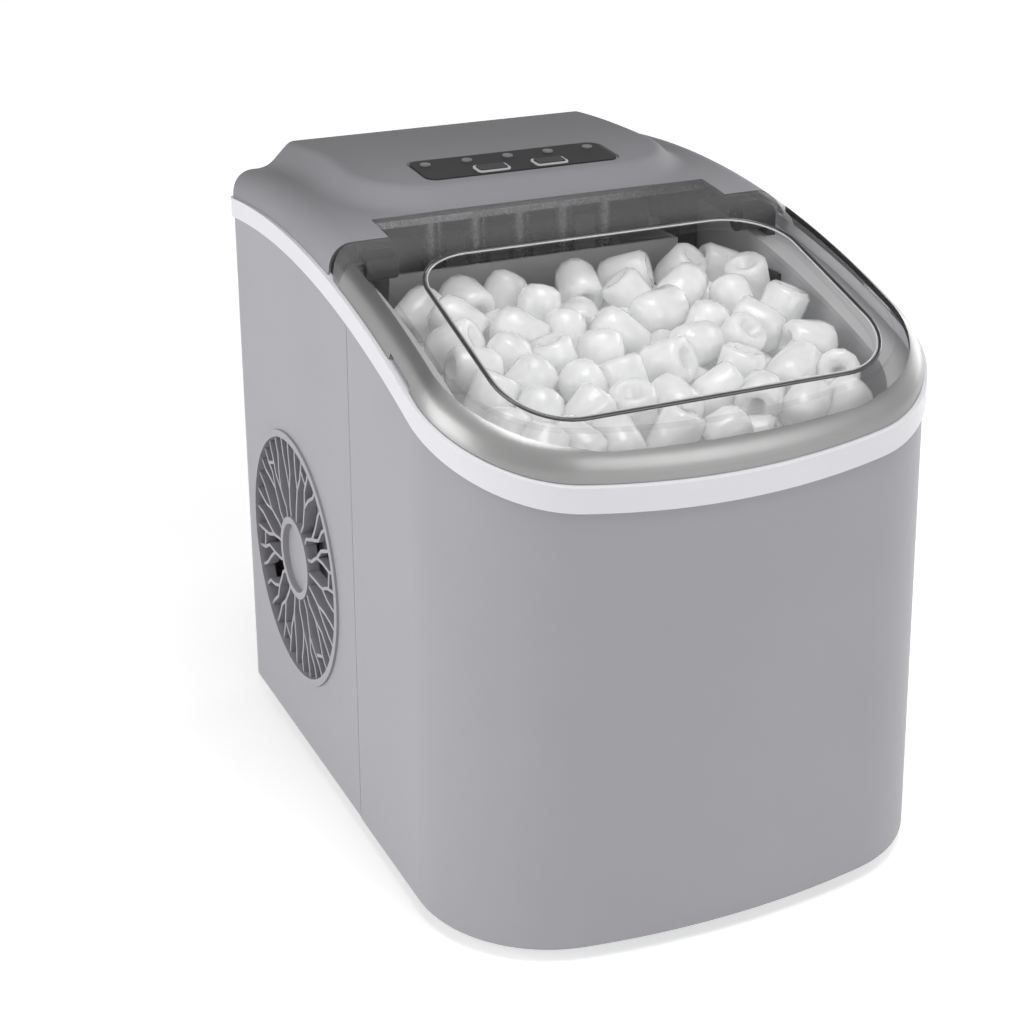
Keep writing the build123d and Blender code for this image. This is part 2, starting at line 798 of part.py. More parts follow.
# Tilting water tray
tray_z = plate_z - tray_drop
tray = rod_x(-tray_half, tray_half, tray_y, tray_z, tray_radius + tray_wall)
tray = tray - rod_x(-tray_half + tray_wall, tray_half - tray_wall, tray_y, tray_z, tray_radius)
tray = tray - between(-reach, reach, -reach, reach, tray_z, reach)
boss = rod_x(tray_half - tray_wall, tray_half, tray_y, tray_z, 2 * journal_radius)
ear_in = tray_half + ear_gap
ear_out = ear_in + ear_thick
journal = rod_x(tray_half - tray_wall, ear_out, tray_y, tray_z, journal_radius)
solids["water_tray"] = tray + both_sides(boss + journal)
ear_half = 2 * journal_radius
ear = between(
    ear_in, ear_out, tray_y - ear_half, tray_y + ear_half, tray_z - ear_half, plate_z
)
ear = ear - rod_x(ear_in, ear_out, tray_y, tray_z, journal_radius + pin_fit)
solids["tray_ears"] = both_sides(ear)
motor_x = ear_out + part_gap
motor = between(
    motor_x, motor_x + motor_thick, tray_y - motor_box / 2, tray_y + motor_box / 2, plate_z - motor_box, plate_z
)
solids["tray_gearmotor"] = fillet(motor.edges().filter_by(Axis.X), wall)

# Ice shovel: a comb that pushes the ice along the chamber floor
shovel_y = chamber_rear - tub_wall - tub_rear_corner
shovel_low = chamber_floor + tub_wall + part_gap
shovel_top = shovel_low + shovel_height
shovel = between(-shovel_half, shovel_half, shovel_y - shovel_thick, shovel_y, shovel_low, shovel_top)
teeth = []
tooth_pitch = 2 * shovel_half / tooth_count
for i in range(tooth_count):
    x = (i - (tooth_count - 1) / 2) * tooth_pitch
    teeth.append(Pos(x, shovel_y, shovel_top) * Box(tooth_gap, reach / 8, shovel_height))
solids["ice_shovel"] = shovel - teeth
sensor_z = roof_z(hinge_y - sensor_gap, deck_rise - deck_thick) - 2 * post_size
sensor = between(
    tub_half - 2 * tub_wall,
    tub_half - tub_wall - seat_gap,
    hinge_y - sensor_gap - post_size,
    hinge_y - sensor_gap + post_size,
    sensor_z - post_size,
    sensor_z + post_size,
)
solids["ice_level_sensor"] = both_sides(sensor)
float_x = basket_half - 10 * post_size
float_y = basket_rear - post_size
stalk = rod_z(float_x, float_y, tub_floor + tub_wall, basket_floor - 2 * post_size, post_size / 3)
ring = rod_z(float_x, float_y, tub_floor + 4 * tub_wall, tub_floor + 4 * tub_wall + 2 * post_size, post_size)
solids["water_level_float"] = stalk + ring

# Base pan and feet
base_face = outline(body_flare - wall - part_gap)
base = extrude(Pos(0, 0, shell_bottom) * base_face, amount=base_lip + base_thick)
base_room = extrude(Pos(0, 0, base_top) * outline(body_flare - 2 * wall - part_gap), amount=reach)
base_rear = back_reach - recess_depth - wall - part_gap
base = base & tapered(-wall - part_gap)
base = base - base_room - between(-reach, reach, base_rear, reach, -reach, reach)
foot_spots = [(x, y) for x in (-foot_x, foot_x) for y in (foot_front, foot_rear)]
stem_radius = foot_radius / 3
stems = [rod_z(x, y, shell_bottom - wall, base_top, stem_radius + seat_gap) for x, y in foot_spots]
solids["base_pan"] = base - stems
feet = []
for x, y in foot_spots:
    foot = extrude(Pos(x, y, 0) * Circle(foot_radius - edge_round), amount=foot_height, taper=-draft * 4)
    feet.append(foot + rod_z(x, y, foot_height, base_top, stem_radius))
solids["rubber_feet"] = Compound(feet)

# Compressor
comp_low = base_top + grommet_height
pot = rod_z(comp_x, comp_y, comp_low + comp_plate, comp_low + comp_plate + comp_height, comp_radius)
pot = fillet(pot.edges(), comp_round)
lug_half = comp_radius - grommet_radius
lug = RectangleRounded(2 * comp_radius, 2 * lug_half, grommet_radius)
lug_spots = GridLocations(2 * lug_half - grommet_radius, 2 * lug_half - 2 * grommet_radius, 2, 2)
lug_face = lug - [spot * Circle(grommet_radius / 2 + seat_gap) for spot in lug_spots]
lug_plate = extrude(Pos(comp_x, comp_y, comp_low) * lug_face, amount=comp_plate + comp_round / 4)
lug_plate = lug_plate - between(-reach, reach, -reach, reach, comp_low + comp_plate, reach)
cap_box = between(
    comp_x - comp_round,
    comp_x + comp_round,
    comp_y - comp_radius - cap_proud,
    comp_y,
    comp_low + cap_low,
    comp_low + cap_high,
)
pot_core = rod_z(comp_x, comp_y, comp_low, comp_low + comp_plate + comp_round, comp_radius - comp_round)
solids["compressor"] = pot + lug_plate + cap_box + pot_core
mounts = []
for spot in lug_spots:
    grommet = rod_z(0, 0, base_top, comp_low, grommet_radius) + rod_z(
        0, 0, comp_low, comp_low + comp_plate, grommet_radius / 2
    )
    mounts.append(Pos(comp_x, comp_y, 0) * spot * grommet)
solids["compressor_mounts"] = Compound(mounts)

# Condenser behind the grille: fins, a serpentine tube and two end plates
fin_out = -side_x(fin_high) + wall + grille_depth
fin_span = (fin_count - 1) * fin_pitch
fins = []
for i in range(fin_count):
    y = grille_y - fin_span / 2 + i * fin_pitch
    fins.append(
        between(fin_out, fin_out + fin_depth, y - fin_thick / 2, y + fin_thick / 2, fin_low, fin_high)
    )
solids["condenser_fins"] = Compound(fins)
coil_x = fin_out + fin_depth + seat_gap + coil_radius
coil_pitch = (fin_high - fin_low) / coil_rows
cage_in = fin_span / 2 + 2 * fin_pitch
coil_points = []
for row in range(coil_rows):
    z = fin_high - (row + 0.5) * coil_pitch
    ends = [grille_y + cage_in + 2 * coil_radius, grille_y - cage_in - 2 * coil_radius]
    if row % 2:
        ends.reverse()
    coil_points += [(coil_x, ends[0], z), (coil_x, ends[1], z)]
coil_bend = coil_pitch / 2 - seat_gap
solids["condenser_coil"] = tube(coil_points, coil_radius, coil_bend)
cage_out = coil_x + 2 * coil_radius
cage = []
for side in (-1, 1):
    y = grille_y + side * (cage_in - fin_pitch)
    end = between(
        fin_out, cage_out, y - cage_thick / 2, y + cage_thick / 2, base_top, fin_high + coil_radius
    )
    for row in range(coil_rows):
        z = fin_high - (row + 0.5) * coil_pitch
        end = end - rod_y(coil_x, y - cage_thick, y + cage_thick, z, coil_radius + seat_gap)
    cage.append(end)
rail = between(fin_out, fin_out + fin_depth, grille_y - cage_in + fin_pitch + cage_thick / 2,
               grille_y + cage_in - fin_pitch - cage_thick / 2, fin_low - cage_thick, fin_low - seat_gap)
solids["condenser_cage"] = cage[0] + cage[1] + rail

# Fan, its duct and its motor
duct_radius = fan_radius + fan_tip_gap
duct_in = coil_x + 2 * coil_radius + part_gap
duct_out = duct_in + duct_length
duct_side = duct_radius + 2 * duct_wall
duct = between(
    duct_in, duct_in + duct_wall, grille_y - duct_side, grille_y + duct_side, base_top, grille_z + duct_side
)
duct = duct + rod_x(duct_in, duct_out, grille_y, grille_z, duct_radius + duct_wall)
duct = duct - rod_x(duct_in - wall, duct_out + wall, grille_y, grille_z, duct_radius)
arms = []
for i in range(4):
    arm = Box(2 * duct_wall, 2 * duct_wall, duct_radius - fan_motor_radius)
    arm = Pos(0, 0, (duct_radius + fan_motor_radius) / 2) * arm
    arms.append(Pos(duct_out - duct_wall, grille_y, grille_z) * Rot(45 + 90 * i, 0, 0) * arm)
collar = rod_x(duct_out - 2 * duct_wall, duct_out, grille_y, grille_z, fan_motor_radius + duct_wall)
collar = collar - rod_x(duct_in, duct_out + wall, grille_y, grille_z, fan_motor_radius + seat_gap)
core = rod_x(duct_in, duct_out + wall, grille_y, grille_z, fan_motor_radius + seat_gap)
solids["fan_duct"] = (duct + arms + collar) - core
motor_in = duct_out - 2 * duct_wall
can = rod_x(motor_in, motor_in + fan_motor_length, grille_y, grille_z, fan_motor_radius)
shaft = rod_x(duct_in + wall, motor_in, grille_y, grille_z, shaft_radius)
solids["fan_motor"] = fillet(can.edges(), wall / 2) + shaft
hub_out = motor_in - wall
hub = rod_x(duct_in + wall / 2, hub_out, grille_y, grille_z, fan_hub)
hub_mid = (duct_in + wall / 2 + hub_out) / 2
blades = []
for i in range(fan_blades_count):
    blade = Pos(0, 0, (fan_radius + fan_hub) / 2 - wall) * Rot(0, 0, blade_pitch) * Box(
        blade_thick, blade_chord, fan_radius - fan_hub + 2 * wall
    )
    blades.append(Pos(hub_mid, grille_y, grille_z) * Rot(360 / fan_blades_count * i, 0, 0) * blade)
rotor = (hub + blades) & rod_x(duct_in, hub_out, grille_y, grille_z, fan_radius)
solids["fan_blades"] = rotor - rod_x(duct_in, motor_in, grille_y, grille_z, shaft_radius + pin_fit)

# Water pump and its hose up to the chamber
pump = between(pump_x - pump_size / 2, pump_x + pump_size / 2, pump_y - pump_size / 2, pump_y + pump_size / 2,
               base_top, base_top + pump_height)
solids["water_pump"] = fillet(pump.edges().filter_by(Axis.Z), 3 * wall)
hose = rod_z(pump_x, pump_y, base_top + pump_height, chamber_floor, hose_radius)
inlet_z = tub_floor + 2 * hose_radius
inlet = rod_y(pump_x, tub_rear, pump_y - 2 * hose_radius, inlet_z, hose_radius)
inlet = inlet + rod_z(pump_x, pump_y - 2 * hose_radius, base_top + pump_height, inlet_z, hose_radius)
inlet = inlet + Pos(pump_x, pump_y - 2 * hose_radius, inlet_z) * Sphere(hose_radius)
solids["pump_hoses"] = Compound([hose, inlet])

# Refrigerant lines
comp_top = comp_low + comp_plate + comp_height
run_z = chamber_floor - 2 * line_bend / 3
port_y = plate_y1 - wall
port_z = header_z + header_height / 2
coil_top = coil_points[0]
cross_y = line_y + 4 * line_radius
discharge = [
    (comp_x - comp_round, comp_y, comp_top),
    (comp_x - comp_round, comp_y, run_z),
    (comp_x - comp_round, cross_y, run_z),
    (coil_x, cross_y, run_z),
    (coil_x, cross_y, coil_top[2]),
    (coil_x, coil_top[1], coil_top[2]),
]
solids["discharge_line"] = tube(discharge, line_radius, line_bend / 2)
suction = [
    (comp_x + comp_round, comp_y, comp_top),
    (comp_x + comp_round, comp_y, run_z),
    (comp_x + comp_round, line_y, run_z),
    (line_x, line_y, run_z + 3 * line_bend),
    (line_x, line_y, port_z),
    (line_x, port_y, port_z),
]
solids["suction_line"] = tube(suction, line_radius, line_bend / 2)
drier_low = fin_low + coil_pitch
drier = rod_z(-line_x, line_y, drier_low, drier_low + 5 * line_bend, 3 * line_radius)
solids["filter_drier"] = fillet(drier.edges(), line_radius)
coil_end = coil_points[-1]
feed = [
    (-line_x, line_y, drier_low + 5 * line_bend),
    (-line_x, line_y, port_z),
    (-line_x, port_y, port_z),
]
solids["liquid_line"] = tube(feed, line_radius, line_bend / 2)
drop = [
    (coil_x, coil_end[1], coil_end[2]),
    (coil_x, line_y, coil_end[2]),
    (-line_x, line_y, coil_end[2]),
    (-line_x, line_y, drier_low),
]
solids["drier_line"] = tube(drop, line_radius, line_bend / 2)

# Drain, cord inlet and case screws
spout_out = drain_x - wall - part_gap - body_flare / 4
spout = rod_x(drain_inner, spout_out, drain_y, drain_z, drain_tube + spout_wall)
spout = spout + rod_z(drain_inner, drain_y, drain_z, tub_floor, drain_tube + spout_wall)
spout = spout + Pos(drain_inner, drain_y, drain_z) * Sphere(drain_tube + spout_wall)
spout = spout - rod_x(drain_inner, spout_out, drain_y, drain_z, drain_tube)
spout = spout - rod_z(drain_inner, drain_y, drain_z, tub_floor, drain_tube)
spout = spout - Pos(drain_inner, drain_y, drain_z) * Sphere(drain_tube)
solids["drain_spout"] = spout
plug_in = spout_out + part_gap
plug = rod_x(plug_in, drain_x - part_gap, drain_y, drain_z, drain_radius)
plug = plug + rod_x(plug_in - drain_length, plug_in, drain_y, drain_z, drain_shank)
solids["drain_plug"] = plug
gland = rod_y(cord_x, gland_y - wall, gland_y, gland_z, gland_radius)
gland = gland + rod_y(cord_x, gland_y + seat_gap, gland_y + 2 * wall, gland_z, gland_flange)
gland = gland + rod_y(cord_x, gland_y, gland_y + wall, gland_z, gland_radius)
solids["cord_gland"] = gland - rod_y(cord_x, gland_y - 2 * wall, gland_y + 3 * wall, gland_z, cord_radius)
screw_x = side_half - 2 * rear_corner
screws = []
for x in (-1, 1):
    for z in (3 * recess_top, roof_z(rear_y, 0) - recess_foot):
        y = rear_y + side_x(z) - body_width / 2
        screws.append(rod_y(x * screw_x, y + seat_gap, y + screw_head, z, screw_radius))
solids["case_screws"] = Compound(screws)

os.makedirs("parts", exist_ok=True)
for name, shape in solids.items():
    export_step(shape, "parts/" + name + ".step")
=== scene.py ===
import json
import math

import bmesh
import bpy
import numpy as np
from mathutils import Euler, Matrix, Vector
from mathutils.bvhtree import BVHTree


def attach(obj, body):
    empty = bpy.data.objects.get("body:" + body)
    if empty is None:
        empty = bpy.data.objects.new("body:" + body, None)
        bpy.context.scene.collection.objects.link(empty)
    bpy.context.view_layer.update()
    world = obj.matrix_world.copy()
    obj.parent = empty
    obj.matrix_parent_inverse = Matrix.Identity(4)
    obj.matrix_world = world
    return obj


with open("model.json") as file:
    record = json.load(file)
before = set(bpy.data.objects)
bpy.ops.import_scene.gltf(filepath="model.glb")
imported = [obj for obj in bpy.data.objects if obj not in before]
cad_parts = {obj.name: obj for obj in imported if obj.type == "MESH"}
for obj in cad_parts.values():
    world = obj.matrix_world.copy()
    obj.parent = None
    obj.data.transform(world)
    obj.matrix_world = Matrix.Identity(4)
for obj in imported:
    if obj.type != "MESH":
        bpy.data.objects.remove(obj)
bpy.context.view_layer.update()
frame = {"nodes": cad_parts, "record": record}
nodes = frame["nodes"]
print("frame in place,", len(nodes), "pieces")


# view: where the lens stands, and how it is turned
viewLook = {
    "place": (-0.378595, -0.774554, 0.506942),
    "turn": -24.0575,   # degrees round the machine
    "drop": 23.022,     # degrees looking down
    "roll": -0.931,
    "lens": 66.05,
}


def setView(look):
    turn, drop, roll = (math.radians(look[k]) for k in ("turn", "drop", "roll"))
    back = Vector((math.sin(turn) * math.cos(drop), -math.cos(turn) * math.cos(drop), math.sin(drop)))
    right = (-back).cross(Vector((0, 0, 1))).normalized()
    up = right.cross(-back)
    sideways = right * math.cos(roll) + up * math.sin(roll)
    upward = up * math.cos(roll) - right * math.sin(roll)
    stand = Matrix((sideways, upward, back)).transposed().to_4x4()
    stand.translation = Vector(look["place"])
    lens = bpy.data.cameras.new("view")
    lens.lens = look["lens"]
    lens.sensor_width = 36
    lens.clip_start = 0.01
    camera = bpy.data.objects.new("view", lens)
    camera.matrix_world = stand
    bpy.context.scene.collection.objects.link(camera)
    bpy.context.scene.camera = camera


setView(viewLook)
print("view set")


# finishes
noiseSpan = (0.3, 0.7)   # where most of a noise's values lie


def startFinish(name):
    finish = bpy.data.materials.new(name)
    finish.use_nodes = True
    tree = finish.node_tree
    place = tree.nodes.new("ShaderNodeTexCoord").outputs["Object"]
    return finish, tree, tree.nodes["Principled BSDF"], place


def noiseOf(tree, place, scale, detail=3.0, stretch=None):
    if stretch:
        turn = tree.nodes.new("ShaderNodeMapping")
        turn.inputs["Scale"].default_value = stretch
        tree.links.new(place, turn.inputs["Vector"])
        place = turn.outputs["Vector"]
    noise = tree.nodes.new("ShaderNodeTexNoise")
    noise.inputs["Scale"].default_value = scale
    noise.inputs["Detail"].default_value = detail
    tree.links.new(place, noise.inputs["Vector"])
    return noise.outputs["Fac"]


def ramped(tree, value, span, results, bend="LINEAR"):
    ramp = tree.nodes.new("ShaderNodeMapRange")
    ramp.interpolation_type = bend
    ramp.inputs["From Min"].default_value, ramp.inputs["From Max"].default_value = span
    ramp.inputs["To Min"].default_value, ramp.inputs["To Max"].default_value = results
    tree.links.new(value, ramp.inputs["Value"])
    return ramp.outputs["Result"]


def spread(tree, value, low, high):
    return ramped(tree, value, noiseSpan, (low, high))


def twoTone(tree, value, dark, light):
    ramp = tree.nodes.new("ShaderNodeValToRGB")
    for stop, at, colour in zip(ramp.color_ramp.elements, noiseSpan, (dark, light)):
        stop.position = at
        stop.color = (*colour, 1)
    tree.links.new(value, ramp.inputs["Fac"])
    return ramp.outputs["Color"]


def roughen(tree, shader, height, depth, strength=1.0):
    bump = tree.nodes.new("ShaderNodeBump")
    bump.inputs["Strength"].default_value = strength
    bump.inputs["Distance"].default_value = depth
    tree.links.new(height, bump.inputs["Height"])
    tree.links.new(bump.outputs["Normal"], shader.inputs["Normal"])


def smokeTowardsHinge(tree, shader, place, tint):
    # the pane is clear, the strip over the hinge is smoked
    split = tree.nodes.new("ShaderNodeSeparateXYZ")
    tree.links.new(place, split.inputs["Vector"])
    span = (tint["clearTo"], tint["smokedFrom"])
    smoke = ramped(tree, split.outputs["Y"], span, (tint["clear"], tint["smoked"]), "SMOOTHSTEP")
    tree.links.new(smoke, shader.inputs["Alpha"])


def mathOf(tree, kind, first, second):
    step = tree.nodes.new("ShaderNodeMath")
    step.operation = kind
    for socket, value in zip(step.inputs, (first, second)):
        if isinstance(value, (int, float)):
            socket.default_value = value
        else:
            tree.links.new(value, socket)
    return step.outputs["Value"]


def silverOutside(tree, shader, place, edge):
    # silvered outside a round-cornered outline with a bowed front, clear inside it
    split = tree.nodes.new("ShaderNodeSeparateXYZ")
    tree.links.new(place, split.inputs["Vector"])
    aside = mathOf(tree, "ABSOLUTE", split.outputs["X"], 0.0)
    along = mathOf(tree, "DIVIDE", aside, edge["bowHalf"])
    bowed = mathOf(tree, "SUBTRACT", 1.0, mathOf(tree, "MULTIPLY", along, along))
    bow = mathOf(tree, "MULTIPLY", mathOf(tree, "MAXIMUM", bowed, 0.0), edge["bow"])
    middleX = edge["half"] - edge["corner"]
    middleY = edge["front"] + edge["bow"] + edge["corner"]
    overX = mathOf(tree, "MAXIMUM", mathOf(tree, "SUBTRACT", aside, middleX), 0.0)
    ahead = mathOf(tree, "SUBTRACT", mathOf(tree, "SUBTRACT", middleY, split.outputs["Y"]), bow)
    overY = mathOf(tree, "MAXIMUM", ahead, 0.0)
    squareX = mathOf(tree, "MULTIPLY", overX, overX)
    squareY = mathOf(tree, "MULTIPLY", overY, overY)
    out = mathOf(tree, "POWER", mathOf(tree, "ADD", squareX, squareY), 0.5)
    span = (edge["corner"] - edge["soft"], edge["corner"] + edge["soft"])
    silver = ramped(tree, out, span, (edge["clear"], 1), "SMOOTHSTEP")
    tree.links.new(silver, shader.inputs["Alpha"])


def moulded(name, look):
    # moulded or painted plastic: slow drift of tone, fine grain, uneven gloss
    finish, tree, shader, place = startFinish(name)
    shade = look["colour"]
    drift = look.get("drift", 0.04)
    tone = noiseOf(tree, place, look.get("driftScale", 14), 4)
    dark = tuple(c * (1 - drift) for c in shade)
    light = tuple(min(1, c * (1 + drift)) for c in shade)
    tree.links.new(twoTone(tree, tone, dark, light), shader.inputs["Base Color"])
    grain = noiseOf(tree, place, look.get("grain", 1400), 2, look.get("stretch"))
    low, high = look["rough"]
    tree.links.new(spread(tree, grain, low, high), shader.inputs["Roughness"])
    roughen(tree, shader, grain, look.get("depth", 0.00002), look.get("bump", 0.5))
    shader.inputs["Metallic"].default_value = look.get("metal", 0)
    shader.inputs["Specular IOR Level"].default_value = look.get("gloss", 0.5)
    shader.inputs["Coat Weight"].default_value = look.get("coat", 0)
    shader.inputs["Coat Roughness"].default_value = look.get("coatRough", 0.1)
    if "tint" in look:
        smokeTowardsHinge(tree, shader, place, look["tint"])
    if "edge" in look:
        silverOutside(tree, shader, place, look["edge"])
    return finish


finishLook = {
    "silver_shell": {"colour": (0.345, 0.338, 0.362), "rough": (0.40, 0.50),
                     "drift": 0.02, "grain": 2200, "gloss": 0.35},
    "cover_grey": {"colour": (0.300, 0.294, 0.313), "rough": (0.44, 0.54),
                   "drift": 0.02, "grain": 2200, "gloss": 0.1},
    "white_trim": {"colour": (0.715, 0.712, 0.742), "rough": (0.30, 0.36),
                   "drift": 0.012, "grain": 900, "depth": 0.000004, "bump": 0.3},
    "silver_rim": {"colour": (0.262, 0.262, 0.260), "rough": (0.30, 0.36),
                   "drift": 0.03, "grain": 45, "metal": 0.7, "depth": 0.00002, "bump": 0.15,
                   "edge": {"half": 0.1115, "front": -0.1585, "corner": 0.055, "bow": 0.0055,
                            "bowHalf": 0.0709, "soft": 0.0003, "clear": 0.07}},
    "smoked_clear": {"colour": (0.19, 0.19, 0.192), "rough": (0.05, 0.09), "drift": 0.06,
                     "grain": 120, "depth": 0.000002, "gloss": 0.8,
                     "tint": {"clearTo": -0.024, "smokedFrom": 0.004, "clear": 0.04, "smoked": 0.46}},
    "panel_dark": {"colour": (0.042, 0.042, 0.044), "rough": (0.48, 0.58),
                   "drift": 0.08, "grain": 1800, "gloss": 0.2},
    "button_dark": {"colour": (0.058, 0.058, 0.060), "rough": (0.45, 0.55),
                    "drift": 0.08, "grain": 1800, "gloss": 0.3},
    "button_line": {"colour": (0.66, 0.66, 0.67), "rough": (0.30, 0.40), "drift": 0.04, "grain": 1500},
    "lens_clear": {"colour": (0.24, 0.24, 0.25), "rough": (0.30, 0.40), "drift": 0.10,
                   "driftScale": 220, "grain": 900, "gloss": 0.3},
    "hinge_dark": {"colour": (0.045, 0.045, 0.047), "rough": (0.34, 0.44), "drift": 0.08, "grain": 1200},
    "liner_white": {"colour": (0.55, 0.55, 0.56), "rough": (0.34, 0.44), "drift": 0.03, "grain": 1100},
    "basket_grey": {"colour": (0.74, 0.75, 0.77), "rough": (0.30, 0.42), "drift": 0.04, "grain": 1100},
    "foam_white": {"colour": (0.80, 0.79, 0.76), "rough": (0.75, 0.9), "drift": 0.06,
                   "driftScale": 320, "grain": 420, "depth": 0.0004, "bump": 0.8},
    "inner_black": {"colour": (0.028, 0.028, 0.03), "rough": (0.40, 0.55), "drift": 0.10, "grain": 1300},
    "foot_rubber": {"colour": (0.022, 0.022, 0.022), "rough": (0.70, 0.85), "drift": 0.15,
                    "grain": 1600, "depth": 0.00005, "gloss": 0.3},
    "board_green": {"colour": (0.03, 0.16, 0.06), "rough": (0.35, 0.5), "drift": 0.25,
                    "driftScale": 160, "grain": 800},
    "pan_metal": {"colour": (0.52, 0.53, 0.54), "rough": (0.32, 0.46), "drift": 0.10,
                  "driftScale": 60, "grain": 500, "metal": 0.9},
    "pot_black": {"colour": (0.02, 0.02, 0.021), "rough": (0.30, 0.42), "drift": 0.10,
                  "grain": 500, "depth": 0.00005},
    "fin_alu": {"colour": (0.56, 0.57, 0.58), "rough": (0.42, 0.50), "drift": 0.02, "grain": 2600,
                "metal": 0.8, "depth": 0.000003, "bump": 0.25, "stretch": (1, 1, 6)},
    "pipe_copper": {"colour": (0.72, 0.34, 0.19), "rough": (0.26, 0.42), "drift": 0.18,
                    "driftScale": 90, "grain": 600, "metal": 1.0},
    "plated_steel": {"colour": (0.56, 0.56, 0.57), "rough": (0.22, 0.34), "drift": 0.06,
                     "driftScale": 120, "grain": 800, "metal": 1.0},
}
finishes = {name: moulded(name, look) for name, look in finishLook.items()}


def slotOf(record):
    slots = {}
    for piece in record["subparts"]:
        slots[piece["node"]] = piece["material_slot"]
    return slots


def dressNodes(slots):
    for name, piece in nodes.items():
        piece.data.materials.clear()
        piece.data.materials.append(finishes[slots[name]])


dressNodes(slotOf(frame["record"]))
print("finishes on,", len(finishes))


# steps that every node tree here begins and ends with
def startTree(name, wanted):
    tree = bpy.data.node_groups.new(name, "GeometryNodeTree")
    tree.interface.new_socket("Geometry", in_out="INPUT", socket_type="NodeSocketGeometry")
    for label, kind in wanted:
        tree.interface.new_socket(label, in_out="INPUT", socket_type=kind)
    tree.interface.new_socket("Geometry", in_out="OUTPUT", socket_type="NodeSocketGeometry")
    return tree, tree.nodes.new("NodeGroupInput"), tree.nodes.new("NodeGroupOutput")


def endTree(tree, shape, given, out):
    real = tree.nodes.new("GeometryNodeRealizeInstances")
    smooth = tree.nodes.new("GeometryNodeSetShadeSmooth")
    paint = tree.nodes.new("GeometryNodeSetMaterial")
    tree.links.new(shape, real.inputs["Geometry"])
    tree.links.new(real.outputs["Geometry"], smooth.inputs["Geometry"])
    tree.links.new(smooth.outputs["Geometry"], paint.inputs["Geometry"])
    tree.links.new(given.outputs["Finish"], paint.inputs["Material"])
    tree.links.new(paint.outputs["Geometry"], out.inputs["Geometry"])


def growMesh(name, seedMesh, tree, values):
    # runs the tree on the seed and keeps the result as a plain mesh
    seedPiece = bpy.data.objects.new(name + "Seed", seedMesh)
    bpy.context.scene.collection.objects.link(seedPiece)
    grow = seedPiece.modifiers.new("grow", "NODES")
    grow.node_group = tree
    for item in tree.interface.items_tree:
        if item.in_out == "INPUT" and item.name in values:
            grow[item.identifier] = values[item.name]
    bpy.context.view_layer.update()
    ready = seedPiece.evaluated_get(bpy.context.evaluated_depsgraph_get())
    mesh = bpy.data.meshes.new_from_object(ready)
    mesh.name = name
    seedPiece.modifiers.remove(grow)
    bpy.data.objects.remove(seedPiece)
    piece = bpy.data.objects.new(name, mesh)
    bpy.context.scene.collection.objects.link(piece)
    return piece


def treeOf(*names):
    points, faces = [], []
    for name in names:
        mesh = nodes[name].data
        start = len(points)
        points += [v.co.copy() for v in mesh.vertices]
        faces += [[start + i for i in p.vertices] for p in mesh.polygons]
    return BVHTree.FromPolygons(points, faces)


# edge of the raised pane: a dark bead painted as the shade along the pane's step, and a pale one beside it
# painted as its highlight
paneLook = {
    "half": 0.092,
    "front": -0.14115,
    "rear": -0.019,
    "corner": 0.030,
    "steps": 14,
    "feelAt": 0.992,     # the lid's height is felt a little inside the line
    "feelFrom": 0.6,
    "sink": 0.0002,
    "sides": 8,
}
beadLooks = {
    # painted shade: a dark line along the pane's edge stands in for the shade of its step
    "pane_bead": {"inset": 0.0, "radius": 0.0008,
                  "dark": (0.03, 0.03, 0.032), "light": (0.055, 0.055, 0.057)},
    # painted highlight: a pale grey line beside it stands in for the glint along the pane's edge
    "pane_glint": {"inset": 0.0014, "radius": 0.00042,
                   "dark": (0.54, 0.54, 0.55), "light": (0.62, 0.62, 0.63)},
}


def beadFinish(name, look):
    finish, tree, shader, place = startFinish(name)
    tone = twoTone(tree, noiseOf(tree, place, 90), look["dark"], look["light"])
    tree.links.new(tone, shader.inputs["Base Color"])
    tree.links.new(spread(tree, noiseOf(tree, place, 260), 0.05, 0.12), shader.inputs["Roughness"])
    shader.inputs["Coat Weight"].default_value = 0.6
    return finish


def paneEdge(pane, inset):
    # rounded oblong, laid on the top of the lid
    lidTop = treeOf("lid_window")
    corner = pane["corner"] - inset
    wide = pane["half"] - inset - corner
    middleY = (pane["front"] + pane["rear"]) / 2
    deep = (pane["rear"] - pane["front"]) / 2 - inset - corner
    line = []
    for sideX, sideY, first in ((1, 1, 0), (-1, 1, 90), (-1, -1, 180), (1, -1, 270)):
        for step in range(pane["steps"] + 1):
            angle = math.radians(first + 90 * step / pane["steps"])
            x = sideX * wide + corner * math.cos(angle)
            y = middleY + sideY * deep + corner * math.sin(angle)
            feelY = middleY + (y - middleY) * pane["feelAt"]
            inward = Vector((x * pane["feelAt"], feelY, pane["feelFrom"]))
            hit = lidTop.ray_cast(inward, Vector((0, 0, -1)))[0]
            line.append((x, y, hit.z - pane["sink"]))
    mesh = bpy.data.meshes.new("edgePath")
    mesh.from_pydata(line, [(i, (i + 1) % len(line)) for i in range(len(line))], [])
    return mesh


def beadTree(sides):
    wanted = (("Radius", "NodeSocketFloat"), ("Finish", "NodeSocketMaterial"))
    tree, given, out = startTree("beadAlongPath", wanted)
    path = tree.nodes.new("GeometryNodeMeshToCurve")
    ring = tree.nodes.new("GeometryNodeCurvePrimitiveCircle")
    ring.inputs["Resolution"].default_value = sides
    sweep = tree.nodes.new("GeometryNodeCurveToMesh")
    tree.links.new(given.outputs["Geometry"], path.inputs["Mesh"])
    tree.links.new(given.outputs["Radius"], ring.inputs["Radius"])
    tree.links.new(path.outputs["Curve"], sweep.inputs["Curve"])
    tree.links.new(ring.outputs["Curve"], sweep.inputs["Profile Curve"])
    endTree(tree, sweep.outputs["Mesh"], given, out)
    return tree


beadPath = beadTree(paneLook["sides"])
for name, look in beadLooks.items():
    values = {"Radius": look["radius"], "Finish": beadFinish(name + "Finish", look)}
    bead = growMesh(name, paneEdge(paneLook, look["inset"]), beadPath, values)
    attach(bead, "lid")
print("pane edge laid")


